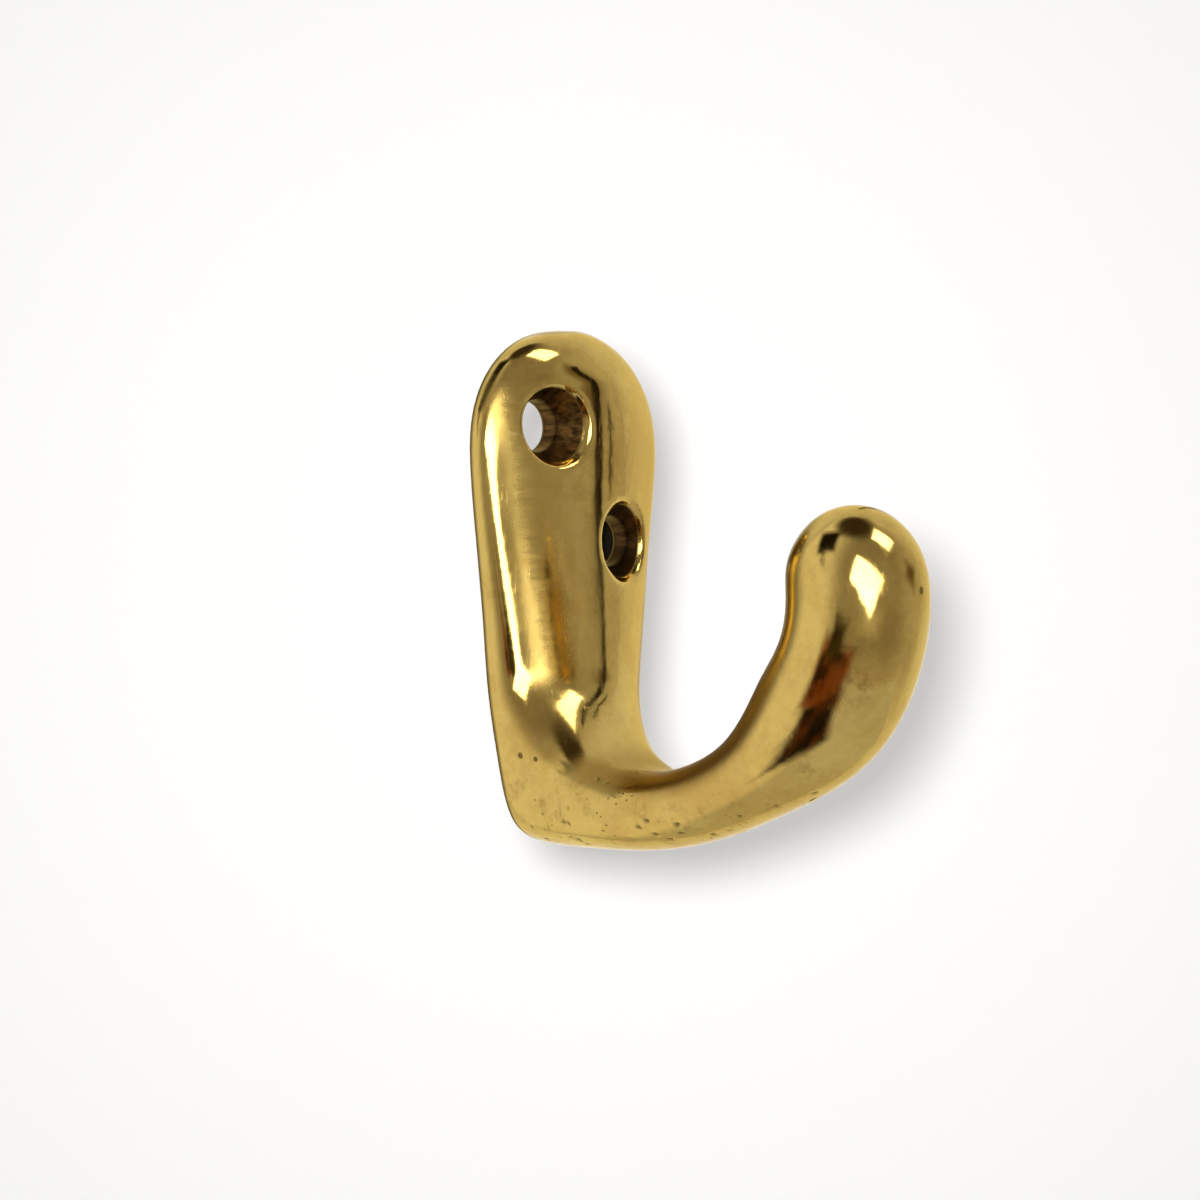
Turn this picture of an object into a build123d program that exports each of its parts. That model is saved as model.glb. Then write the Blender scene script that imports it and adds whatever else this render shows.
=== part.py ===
"""Single-prong coat hook, cast in one piece of brass: a domed back plate that runs out into an arm.

The wall is the plane y = 0 and the hook stands off it towards -Y, with +Z up.
The origin is on the wall, midway between the two screw holes.
"""
import os
from math import copysign, cos, pi, radians, sin, sqrt, tan

from build123d import *

# Back plate
plate_height = 44.0          # foot to top
plate_width = 21.35          # across the round top
plate_foot_width = 16.1      # where the straight sides run into the root
plate_thickness = 4.35       # on the middle line
plate_swell = 1.36           # what the middle line gains down to the root
crown_radius = 22.0          # of the plate's face, across
shoulder_radius = 2.1        # where the face turns down to the plate's edge
crown_loss = 0.6             # share of the crowned section that turns into an oval down to the root
top_squareness = 2.15        # of the round top: 2 is a circle, higher has fuller corners
brow_squareness = 4.5        # of the round top in the side view: higher has a tighter shoulder

# Root and heel, where the plate turns into the arm
root_reach = 0.3
root_height = 12.6
root_thickness = 11.0
root_squareness = 2.2
heel_reach = 1.8
heel_height = 5.6
heel_thickness = 12.8
heel_width = 12.8
heel_squareness = 3.4

# Arm, from its throat to its neck; its flat inner side gets rounder towards the neck
throat_reach = 7.1
throat_height = 4.0
throat_thickness = 8.0
throat_width = 12.0
throat_squareness = 4.5
waist_reach = 11.9
waist_height = 4.15
waist_thickness = 6.3
waist_width = 11.3
waist_squareness = 2.8
bend_reach = 22.5
bend_height = 7.9
bend_thickness = 7.1
bend_width = 10.5
neck_reach = 28.7
neck_height = 13.5
neck_thickness = 10.4
neck_width = 11.6

# Club end
club_reach = 31.5
club_height = 22.7
club_thickness = 10.7
club_width = 10.9
club_length = 6.1            # from the widest section to the tip
club_squareness = 2.0
club_lean = 11.0             # degrees towards the wall

# Screw holes, on a diagonal so that the lower one lies clear of the arm's middle
screw_drop = 13.0            # middle of the pair below the plate's top
screw_spacing_across = 8.8
screw_spacing_up = 9.4
bore_diameter = 4.3
sink_diameter = 7.0          # at the plate's face, before the rim is rounded
sink_angle = 60.0
sink_overrun = 1.5           # the cone is cut from this far off the plate's face
rim_round = 0.4

# Points on the outline of each section
section_points = 24
point_spread = 2.6           # 2 spaces them evenly, higher brings them closer on the plate's shoulders

# Derived sizes
screw_height = plate_height - screw_drop
shoulder_middle = plate_width / 2 - shoulder_radius
crown_middle = plate_thickness - crown_radius
crown_half = crown_radius * shoulder_middle / (crown_radius - shoulder_radius)
edge_reach = crown_middle + sqrt((crown_radius - shoulder_radius) ** 2 - shoulder_middle ** 2)
plate_depth = 2 * (plate_thickness - edge_reach)
dome_height = plate_height - plate_width / 2


def rounded(value, squareness):
    """Sine or cosine of a round outline, pushed out towards the corners by the squareness."""
    return copysign(abs(value) ** (2 / squareness), value)


def crowned(angle):
    """Point of the plate's own section, as shares of its half width and half depth: crown, then shoulder."""
    across = abs(plate_width / 2 * rounded(cos(angle), point_spread))
    if across < crown_half:
        reach = crown_middle + sqrt(crown_radius ** 2 - across ** 2)
    else:
        reach = edge_reach + sqrt(max(shoulder_radius ** 2 - (across - shoulder_middle) ** 2, 0))
    rise = (reach - edge_reach) / (plate_thickness - edge_reach)
    return Vector(copysign(across / (plate_width / 2), cos(angle)), copysign(rise, sin(angle)))


def station(reach, height, heading, thickness, width, crown=0.0, squareness=2.0):
    """Closed section across the hook, square to a path that runs at the heading angle in the side view.

    It is an ellipse where crown is 0, and has the shape of the plate where crown is 1.
    A squareness over 2 flattens the ellipse on the inner side of the hook.
    """
    turn = radians(heading)
    across = Vector(0, sin(turn), cos(turn))
    middle = Vector(0, -reach, height - screw_height)
    plane = Plane(origin=middle, x_dir=(1, 0, 0), z_dir=Vector(1, 0, 0).cross(across))
    steps = [step / section_points for step in range(section_points + 1)]
    angles = [2 * pi * step - pi / 2 for step in steps[:-1]]
    shares = []
    for angle in angles:
        corner = squareness if sin(angle) > 0 else 2
        oval = Vector(rounded(cos(angle), corner), rounded(sin(angle), corner))
        shares.append(oval * (1 - crown) + crowned(angle) * crown)
    points = [Vector(width / 2 * share.X, thickness / 2 * share.Y) for share in shares]
    with BuildSketch(plane) as outline:
        with BuildLine():
            add(Edge.make_spline(points, periodic=True, parameters=steps))
        make_face()
    return outline.sketch.faces()[0]


def dome(angle):
    """Section of the plate's round top, at an angle down from its highest point."""
    size = rounded(sin(radians(angle)), top_squareness)
    height = dome_height + plate_width / 2 * rounded(cos(radians(angle)), top_squareness)
    depth = plate_depth * rounded(sin(radians(angle)), brow_squareness)
    return station(edge_reach, height, -90, depth, plate_width * size, crown=1)


def taper(share):
    """Section of the plate's straight sides, at a share of the way from the dome down to the root."""
    height = dome_height + (root_height - dome_height) * share
    width = plate_width + (plate_foot_width - plate_width) * share
    depth = plate_depth + 2 * plate_swell * share ** 2
    return station(edge_reach, height, -90, depth, width, crown=1 - crown_loss * share)


def club(angle):
    """Section of the arm's round end, at an angle past its widest one."""
    size = rounded(cos(radians(angle)), club_squareness)
    rise = club_length * rounded(sin(radians(angle)), club_squareness)
    reach = club_reach - rise * sin(radians(club_lean))
    height = club_height + rise * cos(radians(club_lean))
    return station(reach, height, 90 + club_lean, club_thickness * size, club_width * size)


top = Vertex(0, -edge_reach, plate_height - screw_height)
tip_reach = club_reach - club_length * sin(radians(club_lean))
tip_height = club_height + club_length * cos(radians(club_lean))
tip = Vertex(0, -tip_reach, tip_height - screw_height)
mouth_level = crown_middle + sqrt(crown_radius ** 2 - (screw_spacing_across / 2) ** 2) + sink_overrun
mouth_radius = sink_diameter / 2 + sink_overrun * tan(radians(sink_angle / 2))
screws = [
    Plane(origin=(side * screw_spacing_across / 2, -mouth_level, -side * screw_spacing_up / 2),
          x_dir=(1, 0, 0), z_dir=(0, -1, 0))
    for side in (-1, 1)
]

# One skin from the top of the plate round to the tip of the arm, then the flat back and the screw holes
with BuildPart() as hook:
    loft([
        top, dome(12), dome(30), dome(50), dome(70),
        taper(0.1), taper(0.4), taper(0.7),
        station(root_reach, root_height, -67, root_thickness, plate_foot_width, 1 - crown_loss, root_squareness),
        station(heel_reach, heel_height, -52, heel_thickness, heel_width, 0, heel_squareness),
        station(throat_reach, throat_height, -30, throat_thickness, throat_width, 0, throat_squareness),
        station(waist_reach, waist_height, 4, waist_thickness, waist_width, 0, waist_squareness),
        station(bend_reach, bend_height, 33, bend_thickness, bend_width),
        station(neck_reach, neck_height, 60, neck_thickness, neck_width),
        club(0), club(20), club(40), club(60), club(78), tip,
    ])
    split(bisect_by=Plane.XZ, keep=Keep.TOP)
    with Locations(*screws):
        CounterSinkHole(bore_diameter / 2, mouth_radius, mouth_level + 1, sink_angle)
    rims = hook.faces().sort_by(SortBy.AREA)[-1].inner_wires()
    fillet([edge for rim in rims for edge in rim.edges()], rim_round)

hook.part.label = "hook"
os.makedirs("parts", exist_ok=True)
export_step(hook.part, "parts/hook.step")
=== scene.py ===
"""Cast brass coat hook: its hand-polished skin, its brass, and the small studio that it stands in."""
from math import cos, degrees, radians, sin

import bmesh
import bpy
from mathutils import Matrix, Vector


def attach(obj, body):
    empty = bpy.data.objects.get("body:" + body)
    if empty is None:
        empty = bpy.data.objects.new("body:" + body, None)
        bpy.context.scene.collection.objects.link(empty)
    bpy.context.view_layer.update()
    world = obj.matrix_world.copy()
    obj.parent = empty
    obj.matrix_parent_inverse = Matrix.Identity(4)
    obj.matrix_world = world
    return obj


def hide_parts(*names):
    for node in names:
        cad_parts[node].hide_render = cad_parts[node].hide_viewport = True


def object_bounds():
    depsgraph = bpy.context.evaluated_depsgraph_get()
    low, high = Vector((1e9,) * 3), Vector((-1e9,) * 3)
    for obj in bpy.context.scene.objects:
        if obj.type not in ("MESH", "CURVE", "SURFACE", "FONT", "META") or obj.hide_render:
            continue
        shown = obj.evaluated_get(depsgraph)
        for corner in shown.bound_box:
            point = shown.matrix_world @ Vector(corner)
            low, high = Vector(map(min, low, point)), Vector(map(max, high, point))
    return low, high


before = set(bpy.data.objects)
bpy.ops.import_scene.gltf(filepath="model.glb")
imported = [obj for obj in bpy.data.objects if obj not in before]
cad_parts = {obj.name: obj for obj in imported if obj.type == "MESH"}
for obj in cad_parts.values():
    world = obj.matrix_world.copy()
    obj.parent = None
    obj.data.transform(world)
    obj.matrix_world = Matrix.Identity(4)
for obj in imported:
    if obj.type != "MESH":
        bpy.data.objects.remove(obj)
cad_box = [list(corner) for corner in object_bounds()]

bl_info = {
    "name": "Cast Brass Coat Hook",
    "version": (1, 0, 0),
    "blender": (4, 5, 0),
    "location": "3D View > Sidebar > Coat Hook",
    "description": "Makes a polished cast brass coat hook and the studio around it",
    "category": "Object",
}

MM = 0.001

# Work on the casting
BACK_ALLOWANCE = 1.2 * MM      # drawn out behind the wall before the back is faced off
MERGE_GAP = 0.002 * MM         # points closer than this are one point
FLAT_GAP = 0.001 * MM          # faces this close to the wall are the back
CUT_GAP = 0.0001 * MM          # points this close to the cut lie on it
LAP_SHARE, LAP_TURNS = 0.5, 6  # smoothing of the even skin
FEWEST_FACES = 1000            # fewer mean that the skin failed

# Places on the hook, in millimetres
PER_METRE = 1000.0
SCREW_ACROSS, SCREW_UP = 4.4, 4.7           # from the middle to each screw
CROWN_RADIUS, PLATE_THICKNESS = 22.0, 4.35  # of the plate's face
SHOULDER_OUT, SHOULDER_TAPER = 9.7, 0.16    # left shoulder of the plate, and how it runs in towards the foot
THROAT_REACH, THROAT_LEVEL = 14.5, 10.5     # middle of the throat's curve, out from the wall and below the screws
SADDLE_CORNER = (-5.2, -9.2, -24.2)         # left end of the saddle, where a buff hardly reaches
BROWN_MARKS = (((-3.6, -34.4, -15.6), 2.2), ((-3.9, -30.3, -22.3), 1.8), ((-4.4, -8.5, -25.5), 2.4))
BLOWHOLES = (((-6.8, -2.4, -22.6), 0.34), ((-6.4, -3.8, -22.8), 0.26), ((0.7, -36.9, -8.6), 0.4))
HAIRLINES = (((0.1, 0.05, 0.3), (9.0, 9.0, 0.22)), ((0.9, 0.3, -0.4), (0.3, 8.0, 8.0)))  # turn and scale of each set
EDGE_TINT = (0.93, 0.82, 0.55, 1)           # of the brass where it is seen at a glance

# Studio
SENSOR_WIDTH, NEAR_CLIP = 36.0, 0.005
FLOOR_SIZE, BACKDROP_SIZE = 1.5, 0.5
BACKDROP_LIFT = Vector((0, 0, 0.1))
LAMP_SIZE, LAMP_POWER = 12.0 * MM, 0.40
LAMP_ASIDE = Vector((-5.6 * MM, 6.0 * MM, 0))  # from the camera, across and up the picture
SHADE_SIZE, SHADE_GAP = 5.0 * MM, 0.3 * MM
SHADE_COLOUR = (0.01, 0.008, 0.006, 1)
CEILING = (0.05, 0.035, 0.02, 1)
# Height of a mirrored direction, from -1 straight down to 1 straight up, and how bright the room is there
ROOM_LEVELS = ((-1.0, 0.62), (-0.6, 0.52), (-0.35, 0.33), (0.0, 0.38), (0.5, 0.33), (0.85, 0.29), (0.96, 0.16))

# Cards around the hook: name, point that it is set out from, azimuth, elevation, width, height and roll in degrees,
# distance in metres, two colours, strength, soft edge
DAYLIGHT, DARK, BROWN = (1.0, 0.97, 0.90), (0.012, 0.008, 0.004), (0.22, 0.062, 0.015)
SHADOW = (0.03, 0.02, 0.012)
MIDDLE = Vector((0, -14, -9)) * MM
CLUB = Vector((-2, -32, -12)) * MM
RIDGE = Vector((0, -4.3, -2)) * MM
CARDS = (
    ("window", MIDDLE, -35, 17, 53, 33, -35, 0.50, DAYLIGHT, DAYLIGHT, 6.5, 0.12),
    ("window sill", MIDDLE, -24, -8, 56, 22, -10, 0.55, (1.0, 0.94, 0.82), (0.9, 0.84, 0.7), 0.62, 0.5),
    ("high lamp", MIDDLE, 24, 54, 21, 26, 15, 0.50, DAYLIGHT, DAYLIGHT, 5.0, 0.08),
    ("doorway", MIDDLE, -121, 52, 40, 42, 30, 0.50, DARK, DARK, 1.0, 0.25),
    ("doorway foot", MIDDLE, -113, 30, 14, 34, 20, 0.52, (0.13, 0.09, 0.035), (0.2, 0.14, 0.06), 1.0, 0.5),
    ("brown cloth", CLUB, -72, -25, 84, 40, -22, 0.052, BROWN, (0.035, 0.012, 0.004), 1.0, 0.25),
    ("cloth fold", CLUB, -78, -50, 56, 50, -10, 0.051, DARK, (0.08, 0.025, 0.008), 1.0, 0.24),
    ("dark stand", CLUB, -72, -8, 34, 28, -20, 0.050, (0.05, 0.04, 0.014), (0.03, 0.02, 0.008), 1.0, 0.35),
    ("pale table", MIDDLE, -142, -46, 76, 76, 0, 0.45, (1.0, 0.96, 0.88), (0.96, 0.92, 0.84), 0.95, 0.2),
    ("chair", MIDDLE, 44, 14, 28, 26, -35, 0.60, (0.14, 0.10, 0.055), (0.18, 0.13, 0.07), 1.0, 0.45),
    ("door edge", RIDGE, 46.5, 8, 8, 82, 0, 0.026, DARK, SHADOW, 1.0, 0.05),
    ("door frame", RIDGE, 57.5, 16, 3.0, 26, 0, 0.030, DARK, SHADOW, 1.0, 0.2),
)


class Wire:
    """An output socket. Arithmetic on it adds Math nodes to its tree."""

    def __init__(self, bench, socket):
        self.bench = bench
        self.socket = socket

    def __add__(self, other):
        return self.bench.math("ADD", self, other)

    __radd__ = __add__

    def __sub__(self, other):
        return self.bench.math("SUBTRACT", self, other)

    def __rsub__(self, other):
        return self.bench.math("SUBTRACT", other, self)

    def __mul__(self, other):
        return self.bench.math("MULTIPLY", self, other)

    __rmul__ = __mul__

    def __rtruediv__(self, other):
        return self.bench.math("DIVIDE", other, self)

    def __pow__(self, other):
        return self.bench.math("POWER", self, other)

    def __abs__(self):
        return self.bench.math("ABSOLUTE", self)


class Bench:
    """A node tree under construction."""

    def __init__(self, tree):
        self.tree = tree
        self.tree.nodes.clear()

    def add(self, kind, settings=None, sockets=None, output=0):
        """Adds a node, with its settings first and then its sockets, and gives one of its outputs."""
        node = self.tree.nodes.new(kind)
        for name, value in (settings or {}).items():
            if name == "stops":
                ramp = node.color_ramp
                while len(ramp.elements) < len(value):
                    ramp.elements.new(0.5)
                for element, (place, colour) in zip(ramp.elements, value):
                    element.position = place
                    element.color = colour
            else:
                setattr(node, name, value)
        for name, value in (sockets or {}).items():
            socket = node.inputs[name]
            if isinstance(value, Wire):
                self.tree.links.new(value.socket, socket)
            else:
                socket.default_value = value
        return Wire(self, node.outputs[output]) if node.outputs else node

    def math(self, operation, *values):
        return self.add("ShaderNodeMath", {"operation": operation}, dict(enumerate(values)))

    def vector(self, operation, *values, output=0):
        return self.add("ShaderNodeVectorMath", {"operation": operation}, dict(enumerate(values)), output)

    def scaled(self, vector, factor):
        return self.add("ShaderNodeVectorMath", {"operation": "SCALE"}, {0: vector, "Scale": factor})

    def larger(self, one, two):
        return self.math("MAXIMUM", one, two)

    def reach(self, one, two):
        """Length of the slant whose two legs are given."""
        return self.math("SQRT", one ** 2 + two ** 2)

    def away(self, place, spot):
        """Distance from a spot."""
        return self.vector("DISTANCE", place, spot, output="Value")

    def step(self, value, low, high):
        """0 below low and 1 above high, or the other way round, with a soft change between."""
        return self.add("ShaderNodeMapRange", {"interpolation_type": "SMOOTHSTEP"},
                        {"Value": value, "From Min": low, "From Max": high})

    def noise(self, place, scale, detail=2.0, rough=0.5, output=0):
        return self.add("ShaderNodeTexNoise", {},
                        {"Vector": place, "Scale": scale, "Detail": detail, "Roughness": rough}, output)

    def streaks(self, place, turn, scale, detail=2.0, rough=0.5):
        """Noise that is drawn out along one direction."""
        run = self.add("ShaderNodeMapping", {}, {"Vector": place, "Rotation": turn, "Scale": scale})
        return self.noise(run, 1.0, detail, rough)

    def blend(self, factor, one, two):
        """Mixes two colours, which are sockets 6 and 7 of the node and output 2."""
        return self.add("ShaderNodeMix", {"data_type": "RGBA"}, {0: factor, 6: one, 7: two}, 2)

    def parts(self, vector):
        """The three numbers of a vector."""
        node = self.add("ShaderNodeSeparateXYZ", {}, {0: vector}).socket.node
        return [Wire(self, socket) for socket in node.outputs]

    def coordinates(self, kind):
        return self.add("ShaderNodeTexCoord", {}, {}, kind)


class CastingSettings(bpy.types.PropertyGroup):
    """Sizes of the hook's polished skin."""

    skin_step: bpy.props.FloatProperty(
        name="Skin Step", description="Spacing of the points on the skin",
        default=0.2 * MM, precision=6, unit="LENGTH")
    unevenness: bpy.props.FloatProperty(
        name="Unevenness", description="Depth of the hollows that hand polishing leaves",
        default=0.035 * MM, precision=6, unit="LENGTH")
    unevenness_size: bpy.props.FloatProperty(
        name="Unevenness Size", description="Width of those hollows",
        default=9.0 * MM, precision=5, unit="LENGTH")
    pit_radius: bpy.props.FloatProperty(
        name="Pit Radius", description="Radius of the largest casting pits",
        default=0.34 * MM, precision=6, unit="LENGTH")
    pit_depth: bpy.props.FloatProperty(
        name="Pit Depth", description="Depth of the casting pits",
        default=0.12 * MM, precision=6, unit="LENGTH")
    pits_per_square_metre: bpy.props.FloatProperty(
        name="Pits per Area", description="How many pits there are on the heel and the underside", default=220000.0)
    seed: bpy.props.IntProperty(name="Seed", description="Places of the pits", default=4)


class BrassSettings(bpy.types.PropertyGroup):
    """Colours and gloss of the brass."""

    polished: bpy.props.FloatVectorProperty(
        name="Polished", description="Brass where it is rubbed bright",
        subtype="COLOR", size=4, min=0, max=1, default=(0.70, 0.51, 0.155, 1))
    tarnished: bpy.props.FloatVectorProperty(
        name="Tarnished", description="Brass where it has gone dull",
        subtype="COLOR", size=4, min=0, max=1, default=(0.56, 0.37, 0.10, 1))
    unpolished: bpy.props.FloatVectorProperty(
        name="Unpolished", description="Brass in the throat and in stains",
        subtype="COLOR", size=4, min=0, max=1, default=(0.22, 0.125, 0.035, 1))
    # Also the colour of the painted shade on the club's back and in the lower screw hole
    grime_and_shade: bpy.props.FloatVectorProperty(
        name="Grime", description="Old polish and dirt in the pits and holes",
        subtype="COLOR", size=4, min=0, max=1, default=(0.03, 0.016, 0.006, 1))
    # Rough drilled brass, darkened further as painted shade inside the holes
    drilled: bpy.props.FloatVectorProperty(
        name="Drilled", description="Rough brass inside the screw holes",
        subtype="COLOR", size=4, min=0, max=1, default=(0.19, 0.105, 0.034, 1))
    gloss_roughness: bpy.props.FloatProperty(
        name="Gloss Roughness", description="Roughness of the polished brass",
        default=0.07, min=0, max=1, subtype="FACTOR")
    smear_roughness: bpy.props.FloatProperty(
        name="Smear Roughness", description="What smears and fine scratches add to it",
        default=0.2, min=0, max=1, subtype="FACTOR")
    haze_roughness: bpy.props.FloatProperty(
        name="Haze Roughness", description="What dried polish on the plate adds to it",
        default=0.22, min=0, max=1, subtype="FACTOR")


class StudioSettings(bpy.types.PropertyGroup):
    """Camera and surroundings."""

    view_azimuth: bpy.props.FloatProperty(
        name="View Azimuth", description="Side that the camera stands on",
        default=radians(-46.048), subtype="ANGLE")
    view_elevation: bpy.props.FloatProperty(
        name="View Elevation", description="Height of the camera over the aim",
        default=radians(0.561), subtype="ANGLE")
    view_roll: bpy.props.FloatProperty(
        name="View Roll", description="Turn of the camera about its own axis",
        default=radians(0.611), subtype="ANGLE")
    view_distance: bpy.props.FloatProperty(
        name="View Distance", description="Distance from the camera to the aim",
        default=170.0 * MM, unit="LENGTH")
    aim: bpy.props.FloatVectorProperty(
        name="Aim", description="Point in the middle of the picture", size=3, subtype="TRANSLATION", unit="LENGTH",
        default=(-3.6077 * MM, -8.2677 * MM, -9.6984 * MM))
    lens: bpy.props.FloatProperty(
        name="Lens", description="Focal length in millimetres on a sensor 36 mm wide", default=62.71)
    floor_drop: bpy.props.FloatProperty(
        name="Floor Drop", description="Floor below the middle of the screw holes", default=0.55, unit="LENGTH")
    backdrop_gap: bpy.props.FloatProperty(
        name="Backdrop Gap", description="Backdrop behind the aim", default=110.0 * MM, unit="LENGTH")
    paper: bpy.props.FloatVectorProperty(
        name="Paper", description="Floor and backdrop",
        subtype="COLOR", size=4, min=0, max=1, default=(0.9, 0.9, 0.9, 1))
    room: bpy.props.FloatVectorProperty(
        name="Room", description="Walls of the room",
        subtype="COLOR", size=4, min=0, max=1, default=(0.66, 0.65, 0.63, 1))
    side_wall: bpy.props.FloatVectorProperty(
        name="Side Wall", description="Walls at the sides, seen in the brass",
        subtype="COLOR", size=4, min=0, max=1, default=(0.92, 0.88, 0.80, 1))


def compass(azimuth, elevation):
    """Direction from the hook towards an azimuth and an elevation in degrees.

    Azimuth 0 is straight out of the wall.
    """
    a, e = radians(azimuth), radians(elevation)
    return Vector((sin(a) * cos(e), -cos(a) * cos(e), sin(e)))


def facing(direction, roll=0.0):
    """Turn of an object whose own +Z points along the direction, with its +Y as near up as it can be."""
    right = Vector((0, 0, 1)).cross(direction).normalized()
    up = direction.cross(right)
    turn = Matrix((right, up, direction)).transposed()
    return turn @ Matrix.Rotation(radians(roll), 3, "Z")


def sheet_object(name, place, turn, width, height, material):
    """A flat card with its place in its mesh."""
    mesh = bpy.data.meshes.new(name)
    corners = [(-1, -1), (1, -1), (1, 1), (-1, 1)]
    points = [place + turn @ Vector((x * width / 2, y * height / 2, 0)) for x, y in corners]
    mesh.from_pydata(points, [], [(0, 1, 2, 3)])
    spread = mesh.uv_layers.new(name="card")
    for loop, (x, y) in zip(spread.data, corners):
        loop.uv = ((x + 1) / 2, (y + 1) / 2)
    mesh.materials.append(material)
    thing = bpy.data.objects.new(name, mesh)
    bpy.context.collection.objects.link(thing)
    return thing


def make_skin_tree(settings, material):
    """Geometry nodes that hollow the polished skin a little and sink casting pits into its heel and underside."""
    tree = bpy.data.node_groups.new("polished casting", "GeometryNodeTree")
    face = tree.interface
    face.new_socket("Casting", in_out="INPUT", socket_type="NodeSocketGeometry")
    values = {
        "Unevenness": settings.unevenness,
        "Unevenness Size": settings.unevenness_size,
        "Pit Radius": settings.pit_radius,
        "Pit Depth": settings.pit_depth,
        "Pits per Area": settings.pits_per_square_metre,
    }
    for name in values:
        face.new_socket(name, in_out="INPUT", socket_type="NodeSocketFloat")
    face.new_socket("Seed", in_out="INPUT", socket_type="NodeSocketInt")
    face.new_socket("Lowest Corner", in_out="INPUT", socket_type="NodeSocketVector")
    face.new_socket("Highest Corner", in_out="INPUT", socket_type="NodeSocketVector")
    values.update({"Seed": settings.seed, "Lowest Corner": cad_box[0],
                   "Highest Corner": [cad_box[1][0], cad_box[1][1] + BACK_ALLOWANCE, cad_box[1][2]]})
    face.new_socket("Hook", in_out="OUTPUT", socket_type="NodeSocketGeometry")
    bench = Bench(tree)
    given = {}
    for socket in bench.add("NodeGroupInput").socket.node.outputs:
        given[socket.name] = Wire(bench, socket)
    place = bench.add("GeometryNodeInputPosition")
    normal = bench.add("GeometryNodeInputNormal")
    _, y, z = bench.parts(place)
    tilt = bench.parts(normal)[2]

    # Hollows from hand polishing, left out on the flat back
    wave = bench.noise(bench.scaled(place, 1 / given["Unevenness Size"]), 1.0, 1.0) - 0.5
    off_wall = bench.step(y, -0.6 * MM, -1.6 * MM)
    hollow = wave * given["Unevenness"] * off_wall

    # Pits with ragged rims, close together in patches of the underside and the heel
    patch = bench.step(bench.noise(place, 190.0, 1.0), 0.5, 0.6)
    low = bench.step(z, -21.5 * MM, -25.0 * MM) * bench.step(y, -1.5 * MM, -3.0 * MM)
    under = bench.step(tilt, 0.15, -0.35)
    crowd = patch * low * (0.25 + under)
    seeds = bench.add("GeometryNodeDistributePointsOnFaces", {"distribute_method": "RANDOM"},
                      {"Mesh": given["Casting"], "Density": crowd * given["Pits per Area"], "Seed": given["Seed"]})
    ragged = bench.noise(place, 2600.0, 1.0, output="Color")
    ragged = bench.scaled(bench.vector("SUBTRACT", ragged, (0.5, 0.5, 0.5)), 0.5 * MM)
    gap = bench.add("GeometryNodeProximity", {"target_element": "POINTS"},
                    {0: seeds, "Sample Position": bench.vector("ADD", place, ragged)}, "Distance")
    size = given["Pit Radius"] * (0.3 + 1.1 * bench.noise(place, 700.0, 0.0))
    pit = bench.step(gap, size, 0.25 * size)
    moved = bench.scaled(normal, hollow - pit * given["Pit Depth"])

    # The pits are marked for the brass, and the skin is kept inside the solid's own box
    marked = bench.add("GeometryNodeStoreNamedAttribute", {"data_type": "FLOAT", "domain": "POINT"},
                       {"Geometry": given["Casting"], "Name": "pit", "Value": pit})
    shaped = bench.add("GeometryNodeSetPosition", {}, {"Geometry": marked, "Offset": moved})
    inside = bench.vector("MINIMUM", bench.vector("MAXIMUM", place, given["Lowest Corner"]), given["Highest Corner"])
    shaped = bench.add("GeometryNodeSetPosition", {}, {"Geometry": shaped, "Position": inside})
    smooth = bench.add("GeometryNodeSetShadeSmooth", {}, {"Geometry": shaped})
    plain = bench.add("GeometryNodeRealizeInstances", {}, {"Geometry": smooth})
    done = bench.add("GeometryNodeSetMaterial", {}, {"Geometry": plain, "Material": material})
    bench.add("NodeGroupOutput", {}, {"Hook": done})
    return tree, values


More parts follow.
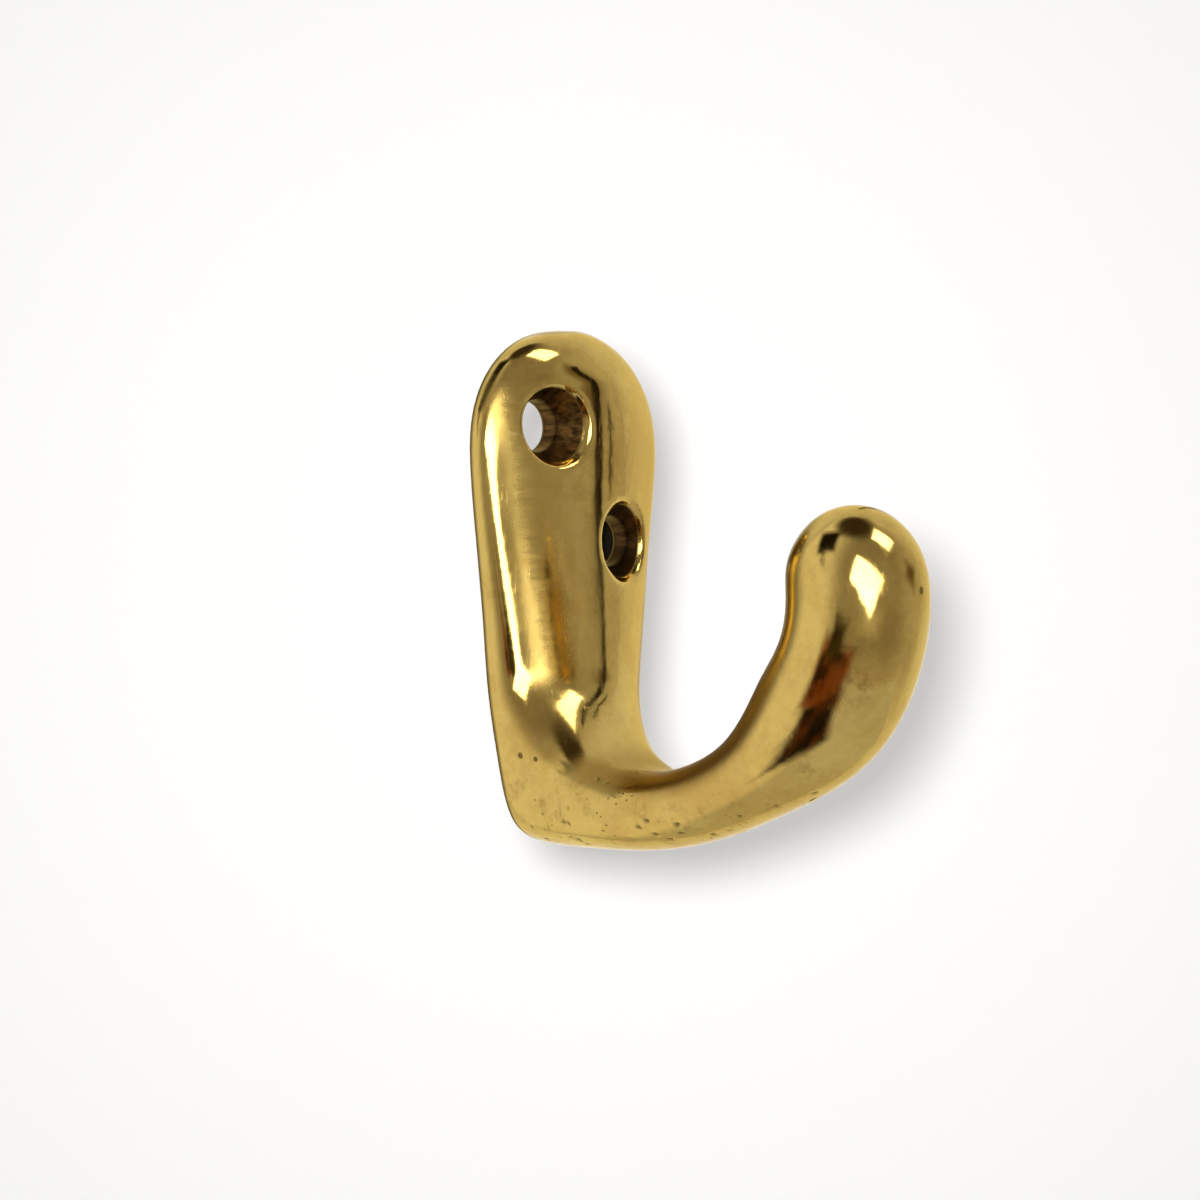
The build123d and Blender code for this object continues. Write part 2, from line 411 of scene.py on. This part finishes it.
def make_brass(settings):
    """Polished cast brass with dull patches, smears, hairlines, pits and drilled holes, and painted shade on the
    sides of the club's back and inside the holes; lengths in millimetres.
    """
    material = bpy.data.materials.new("cast brass")
    material.use_nodes = True
    bench = Bench(material.node_tree)
    place = bench.scaled(bench.coordinates("Object"), PER_METRE)
    x, y, z = bench.parts(place)
    sideways, inward, _ = bench.parts(bench.coordinates("Normal"))

    # Screw holes: how far a point is from the nearer screw, and how far it lies below the plate's crown
    upper = bench.reach(x + SCREW_ACROSS, z - SCREW_UP)
    lower = bench.reach(x - SCREW_ACROSS, z + SCREW_UP)
    screw = bench.math("MINIMUM", upper, lower)
    by_plate = bench.step(y, -5.6, -5.0)
    face = bench.math("SQRT", CROWN_RADIUS ** 2 - x * x) - (CROWN_RADIUS - PLATE_THICKNESS)
    sunk = face + y
    bore = bench.step(screw, 4.3, 3.9) * by_plate * bench.step(sunk, 0.45, 0.8) * bench.step(y, -0.05, -0.25)

    # Dull patches, the throat that polishing hardly reaches, and painted shade on the sides of the club's back
    patch = bench.noise(place, 0.16, 3.0, 0.6)
    speckle = bench.noise(place, 1.4, 3.0, 0.65)
    arm = bench.step(y, -11.0, -16.0) * bench.step(y, -31.0, -25.0)
    worn = 0.10 * bench.larger(arm, bench.step(x, 1.0, 5.0))
    dull = bench.step(patch * 0.7 + speckle * 0.3 + worn, 0.42, 0.66)
    from_throat = bench.reach(y + THROAT_REACH, z + THROAT_LEVEL)
    off_plate = bench.step(y, -6.5, -8.5)
    throat = bench.step(from_throat, 15.2, 13.4) * off_plate * (0.45 + 0.55 * bench.step(z, -13.0, -17.0))
    # Painted shade: the sides of the club's back that face the wall are darkened
    behind = bench.step(inward, 0.12, 0.4) * bench.step(abs(sideways), 0.3, 0.55) * off_plate
    corner = bench.step(bench.away(place, SADDLE_CORNER), 4.0, 1.4)

    # The left shoulder of the plate, rubbed a little flatter than the rest, and the haze of dried polish beside it
    wipes = bench.streaks(place, (0.0, 0.5, 0.0), (0.9, 0.4, 0.22), 4.0, 0.65)
    brushed = bench.streaks(place, (0.0, -0.3, 0.0), (0.35, 0.35, 1.8), 3.0, 0.6)
    smear = bench.step(wipes, 0.42, 0.7)
    across = x + SHOULDER_OUT + SHOULDER_TAPER * (z - 0.5)
    on_face = bench.step(y, -7.0, -5.5)
    plate = on_face * bench.step(z, -20.0, -15.0) * bench.step(z, 12.0, 5.0)
    rubbed = bench.step(across, -1.2, -0.3) * bench.step(across, 5.0, 1.5) * plate
    shoulder = bench.step(across, -1.4, -0.6) * bench.step(across, 1.6, 0.2) * plate
    frayed = across + 3.0 * (wipes - 0.5) + 3.0 * (brushed - 0.5)
    haze = bench.step(across, 0.0, 1.2) * bench.step(frayed, 4.0, 1.0) * plate
    cloudy = (0.7 + 0.3 * bench.step(wipes, 0.35, 0.6)) * bench.step(across, 3.0, 5.0) * bench.step(x, 1.0, -1.5)
    cloudy = cloudy * bench.step(z, 1.0, -7.0) * on_face * bench.step(z, -18.0, -14.5)

    # Hairlines, two sets that cross
    hair = [bench.step(bench.streaks(place, turn, scale), 0.60, 0.72) for turn, scale in HAIRLINES]
    hairs = bench.larger(*hair) * smear

    # Pits: the large ones are in the mesh, the small ones are fine porosity with brown stains on the underside
    pit = bench.add("ShaderNodeAttribute", {"attribute_name": "pit"}, {}, "Fac")
    pore = bench.add("ShaderNodeTexVoronoi", {"feature": "F1"}, {"Vector": place, "Scale": 1.9, "Randomness": 1.0})
    low = bench.step(z, -21.5, -26.5)
    pore_patch = bench.step(bench.noise(place, 0.33, 2.0), 0.47, 0.62) * low
    pores = bench.step(pore, 0.26, 0.1) * pore_patch
    stain = bench.step(bench.noise(place, 0.5, 4.0, 0.7), 0.5, 0.72) * (0.15 + 0.85 * low)
    blotch = bench.step(speckle, 0.45, 0.62)
    for spot, width in BROWN_MARKS:
        stain = bench.larger(stain, bench.step(bench.away(place, spot), width, 0.0) * blotch)

    # Dirt in the pits, in two blowholes on the heel and in a nick on the club
    dirt = bench.larger(pit, pores * 0.7)
    for spot, width in BLOWHOLES:
        rim = bench.away(place, spot) + 0.3 * (speckle - 0.5)
        dirt = bench.larger(dirt, bench.step(rim, width, 0.5 * width))
    drill = bench.streaks(place, (0.0, 0.0, 0.0), (2.2, 0.25, 2.2), 3.0, 0.6)
    edge = bench.step(y, -0.5, -0.05) * 0.85

    # Colour
    grime_and_shade = list(settings.grime_and_shade)
    colour = bench.blend(dull * 0.8, list(settings.polished), list(settings.tarnished))
    colour = bench.blend(bench.larger(throat * 0.95, stain * 0.45), colour, list(settings.unpolished))
    # Painted shade on the sides of the club's back that face the wall
    colour = bench.blend(behind * 0.75, colour, grime_and_shade)
    # Painted shade inside the lower screw hole, darker towards its bottom
    lower_hole_shade = bench.step(lower, 6.0, 5.0) * (0.4 + 0.6 * bench.step(z, -4.4, -5.6))
    inner = bench.blend(bench.step(drill, 0.3, 0.75) * (1 - lower_hole_shade), grime_and_shade, list(settings.drilled))
    # Inside the screw holes: rough drilled brass, dark partly as painted shade
    colour = bench.blend(bore, colour, inner)
    colour = bench.blend(bench.larger(dirt * 0.7, edge), colour, grime_and_shade)

    # Roughness
    rough = settings.gloss_roughness + settings.smear_roughness * (0.15 * dull + 0.3 * smear + 0.4 * hairs)
    rough = rough + (haze + 1.3 * cloudy) * settings.haze_roughness + throat * 0.22 + behind * 0.1 + stain * 0.08
    rough = rough + bore * 0.3 + dirt * 0.35 + edge * 0.3 + corner * 0.4

    # Relief
    ripple = bench.streaks(place, (0.0, 0.0, 0.0), (0.35, 0.35, 0.9))
    relief = 0.010 * ripple + 0.0012 * bench.noise(place, 3.5, 3.0, 0.6) * smear - 0.0025 * hairs
    relief = relief - 0.03 * pores + 0.06 * bore * drill + 0.002 * brushed * haze

    # The real root is a little rounder than the solid, and the plate's brow and left shoulder are rubbed flatter:
    # their slope is turned to suit
    tongue = bench.step(z, -15.0, -19.2) * bench.step(z, -25.0, -20.5)
    tongue = tongue * bench.step(inward, -0.25, -0.55) * bench.step(y, -13.0, -10.0)
    brow = bench.step(z, 8.2, 9.6) * bench.step(x, 3.0, -4.0) * bench.step(x, -10.5, -8.5)
    lean = bench.add("ShaderNodeCombineXYZ", {}, {
        "X": 0.15 * shoulder + 0.05 * (x + 6.0) * brow,
        "Z": 0.08 * rubbed + 0.45 * tongue + 0.11 * (z - 10.4) * brow,
    })
    normal = bench.add("ShaderNodeNewGeometry", {}, {}, "Normal")
    slope = bench.vector("NORMALIZE", bench.vector("ADD", normal, lean))
    bump = bench.add("ShaderNodeBump", {}, {"Strength": 1.0, "Distance": MM, "Height": relief, "Normal": slope})

    skin = bench.add("ShaderNodeBsdfPrincipled", {}, {
        "Base Color": colour, "Metallic": 1.0, "Roughness": rough, "Normal": bump, "Specular Tint": EDGE_TINT})
    bench.add("ShaderNodeOutputMaterial", {}, {"Surface": skin})
    return material


def face_off_back(mesh):
    """Cuts the skin at the wall and closes it with a flat back that has a crisp edge."""
    work = bmesh.new()
    work.from_mesh(mesh)
    everything = work.verts[:] + work.edges[:] + work.faces[:]
    cut = bmesh.ops.bisect_plane(work, geom=everything, dist=CUT_GAP, plane_co=(0, 0, 0), plane_no=(0, 1, 0),
                                 clear_outer=True)["geom_cut"]
    rim = [edge for edge in cut if isinstance(edge, bmesh.types.BMEdge)]
    bmesh.ops.triangle_fill(work, edges=rim, use_beauty=True, normal=(0, 1, 0))
    for edge in rim:
        edge.smooth = False
    work.to_mesh(mesh)
    work.free()


def rough_casting(context):
    """The solid's own mesh, with its flat back drawn out behind the wall.

    So the skin runs straight through where it is cut later.
    """
    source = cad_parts["hook"]
    work = bmesh.new()
    work.from_mesh(source.data)
    work.transform(source.matrix_world)
    bmesh.ops.remove_doubles(work, verts=work.verts, dist=MERGE_GAP)
    back = [face for face in work.faces
            if face.normal.y > 0.99 and abs(face.calc_center_median().y) < FLAT_GAP]
    pulled = bmesh.ops.extrude_face_region(work, geom=back)["geom"]
    for corner in pulled:
        if isinstance(corner, bmesh.types.BMVert):
            corner.co.y += BACK_ALLOWANCE
    bmesh.ops.delete(work, geom=[face for face in back if face.is_valid], context="FACES_ONLY")
    mesh = bpy.data.meshes.new("rough casting")
    work.to_mesh(mesh)
    work.free()
    rough = bpy.data.objects.new("rough casting", mesh)
    context.collection.objects.link(rough)
    return rough


class COATHOOK_OT_cast(bpy.types.Operator):
    """Cast and polish the hook"""

    bl_idname = "coat_hook.cast"
    bl_label = "Cast Hook"

    def execute(self, context):
        scene = context.scene
        casting = scene.coat_hook_casting
        rough = rough_casting(context)
        remesh = rough.modifiers.new("even skin", "REMESH")
        remesh.mode = "VOXEL"
        remesh.voxel_size = casting.skin_step
        remesh.use_smooth_shade = True
        lap = rough.modifiers.new("lapping", "SMOOTH")
        lap.factor = LAP_SHARE
        lap.iterations = LAP_TURNS
        brass = make_brass(scene.coat_hook_brass)
        tree, values = make_skin_tree(casting, brass)
        finish = rough.modifiers.new("polished casting", "NODES")
        finish.node_group = tree
        for item in tree.interface.items_tree:
            if item.in_out == "INPUT" and item.name in values:
                finish[item.identifier] = values[item.name]
        context.view_layer.update()
        graph = context.evaluated_depsgraph_get()
        mesh = bpy.data.meshes.new_from_object(
            rough.evaluated_get(graph), preserve_all_data_layers=True, depsgraph=graph)
        if len(mesh.polygons) < FEWEST_FACES:
            raise RuntimeError("the polished casting came out empty")
        mesh.name = "coat_hook"
        face_off_back(mesh)
        hook = bpy.data.objects.new("coat_hook", mesh)
        context.collection.objects.link(hook)
        bpy.data.objects.remove(rough)
        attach(hook, "root")
        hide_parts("hook")
        return {"FINISHED"}


def make_paper(name, colour):
    """Paper that is seen from its front only."""
    material = bpy.data.materials.new(name)
    material.use_nodes = True
    bench = Bench(material.node_tree)
    grain = bench.noise(bench.coordinates("Object"), 700.0, 3.0)
    shade = bench.blend(grain * 0.04, colour, [0.9 * value for value in colour])
    front = bench.add("ShaderNodeBsdfDiffuse", {}, {"Color": shade})
    behind = bench.add("ShaderNodeBsdfTransparent")
    side = bench.add("ShaderNodeNewGeometry", {}, {}, "Backfacing")
    sheet = bench.add("ShaderNodeMixShader", {}, {0: side, 1: front, 2: behind})
    bench.add("ShaderNodeOutputMaterial", {}, {"Surface": sheet})
    return material


def make_card(name, colour, second, strength, feather):
    """Glowing or dark card that shows only in reflections, mottled in two colours, with soft edges."""
    material = bpy.data.materials.new(name)
    material.use_nodes = True
    bench = Bench(material.node_tree)
    spread = bench.coordinates("UV")
    u, v, _ = bench.parts(spread)
    inset = bench.math("MINIMUM", 0.5 - abs(u - 0.5), 0.5 - abs(v - 0.5))
    mottle = bench.step(bench.noise(spread, 3.0, 2.0), 0.4, 0.62)
    glow = bench.add("ShaderNodeEmission", {}, {
        "Color": bench.blend(mottle, (*colour, 1), (*second, 1)), "Strength": strength})
    clear = bench.add("ShaderNodeBsdfTransparent")
    sheet = bench.add("ShaderNodeMixShader", {}, {0: bench.step(inset, 0.0, feather), 1: clear, 2: glow})
    bench.add("ShaderNodeOutputMaterial", {}, {"Surface": sheet})
    return material


def make_room(studio):
    """Even light from all round; in reflections the room is pale at the sides and dim in front and overhead."""
    world = bpy.data.worlds.new("room")
    world.use_nodes = True
    bench = Bench(world.node_tree)
    side_wall = list(studio.side_wall)
    x, y, z = bench.parts(bench.coordinates("Generated"))
    stops = [((height + 1) / 2, (level, 0.90 * level, 0.74 * level, 1)) for height, level in ROOM_LEVELS]
    dim = bench.add("ShaderNodeValToRGB", {"stops": stops}, {0: z * 0.5 + 0.5})
    dim = bench.blend(bench.step(x, 0.2, 0.8) * 0.3, dim, side_wall)
    mirrored = bench.blend(bench.step(y + 0.15 * x, 0.2, -0.45), side_wall, dim)
    mirrored = bench.blend(bench.step(z, 0.88, 0.97), mirrored, CEILING)
    glossy = bench.add("ShaderNodeLightPath", {}, {}, "Is Glossy Ray")
    room = bench.add("ShaderNodeBackground", {}, {
        "Color": bench.blend(glossy, list(studio.room), mirrored), "Strength": 1.0})
    bench.add("ShaderNodeOutputWorld", {}, {"Surface": room})
    return world


class COATHOOK_OT_studio(bpy.types.Operator):
    """Set up the camera, the paper, the lamp and the cards around the hook"""

    bl_idname = "coat_hook.studio"
    bl_label = "Set Up Studio"

    def execute(self, context):
        scene = context.scene
        studio = scene.coat_hook_studio
        aim = Vector(studio.aim)
        scene.view_settings.view_transform = "Standard"

        back = compass(degrees(studio.view_azimuth), degrees(studio.view_elevation))
        turn = facing(back, degrees(studio.view_roll))
        lens = bpy.data.cameras.new("camera")
        lens.sensor_width = SENSOR_WIDTH
        lens.lens = studio.lens
        lens.clip_start = NEAR_CLIP
        camera = bpy.data.objects.new("camera", lens)
        camera.matrix_world = Matrix.Translation(aim + back * studio.view_distance) @ turn.to_4x4()
        context.collection.objects.link(camera)
        scene.camera = camera

        paper = make_paper("studio paper", list(studio.paper))
        low = Vector((0, 0, -studio.floor_drop))
        sheet_object("floor", low, Matrix.Identity(3), FLOOR_SIZE, FLOOR_SIZE, paper)
        far = aim - back * studio.backdrop_gap + BACKDROP_LIFT
        sheet_object("backdrop", far, facing(back), BACKDROP_SIZE, BACKDROP_SIZE, paper)

        lamp = bpy.data.lights.new("key lamp", "AREA")
        lamp.shape = "DISK"
        lamp.size = LAMP_SIZE
        lamp.energy = LAMP_POWER
        key = bpy.data.objects.new("key lamp", lamp)
        stand = camera.location + turn @ LAMP_ASIDE
        key.matrix_world = Matrix.Translation(stand) @ facing((stand - aim).normalized()).to_4x4()
        key.visible_glossy = False
        key.visible_camera = False
        context.collection.objects.link(key)

        # Painted shade: a dark sheet behind the lower hole, so that the hole shows black through to the back
        lower_hole = Vector((SCREW_ACROSS * MM, SHADE_GAP, -SCREW_UP * MM))
        shade = sheet_object("shade behind lower hole", lower_hole, facing(Vector((0, -1, 0))),
                             SHADE_SIZE, SHADE_SIZE, make_paper("dark paper", SHADE_COLOUR))
        shade.visible_glossy = False
        shade.visible_diffuse = False
        shade.visible_shadow = False

        for name, start, azimuth, elevation, width, height, roll, gap, colour, second, strength, feather in CARDS:
            heading = compass(azimuth, elevation)
            card = sheet_object(
                name, start + heading * gap, facing(-heading, -roll), 2 * gap * sin(radians(width / 2)),
                2 * gap * sin(radians(height / 2)), make_card(name, colour, second, strength, feather))
            card.visible_camera = False
            card.visible_diffuse = False
            card.visible_shadow = False

        scene.world = make_room(studio)
        return {"FINISHED"}


class COATHOOK_PT_panel(bpy.types.Panel):
    """Settings and steps of the coat hook"""

    bl_idname = "COATHOOK_PT_panel"
    bl_label = "Coat Hook"
    bl_space_type = "VIEW_3D"
    bl_region_type = "UI"
    bl_category = "Coat Hook"

    def draw(self, context):
        for settings, step in (
            (context.scene.coat_hook_casting, COATHOOK_OT_cast),
            (context.scene.coat_hook_brass, None),
            (context.scene.coat_hook_studio, COATHOOK_OT_studio),
        ):
            box = self.layout.box()
            for name in settings.__annotations__:
                box.prop(settings, name)
            if step:
                box.operator(step.bl_idname)


CLASSES = (
    CastingSettings, BrassSettings, StudioSettings,
    COATHOOK_OT_cast, COATHOOK_OT_studio, COATHOOK_PT_panel,
)


def register():
    for item in CLASSES:
        bpy.utils.register_class(item)
    bpy.types.Scene.coat_hook_casting = bpy.props.PointerProperty(type=CastingSettings)
    bpy.types.Scene.coat_hook_brass = bpy.props.PointerProperty(type=BrassSettings)
    bpy.types.Scene.coat_hook_studio = bpy.props.PointerProperty(type=StudioSettings)


def unregister():
    del bpy.types.Scene.coat_hook_studio
    del bpy.types.Scene.coat_hook_brass
    del bpy.types.Scene.coat_hook_casting
    for item in reversed(CLASSES):
        bpy.utils.unregister_class(item)


def main():
    register()
    bpy.ops.coat_hook.cast()
    bpy.ops.coat_hook.studio()


if __name__ == "__main__":
    main()
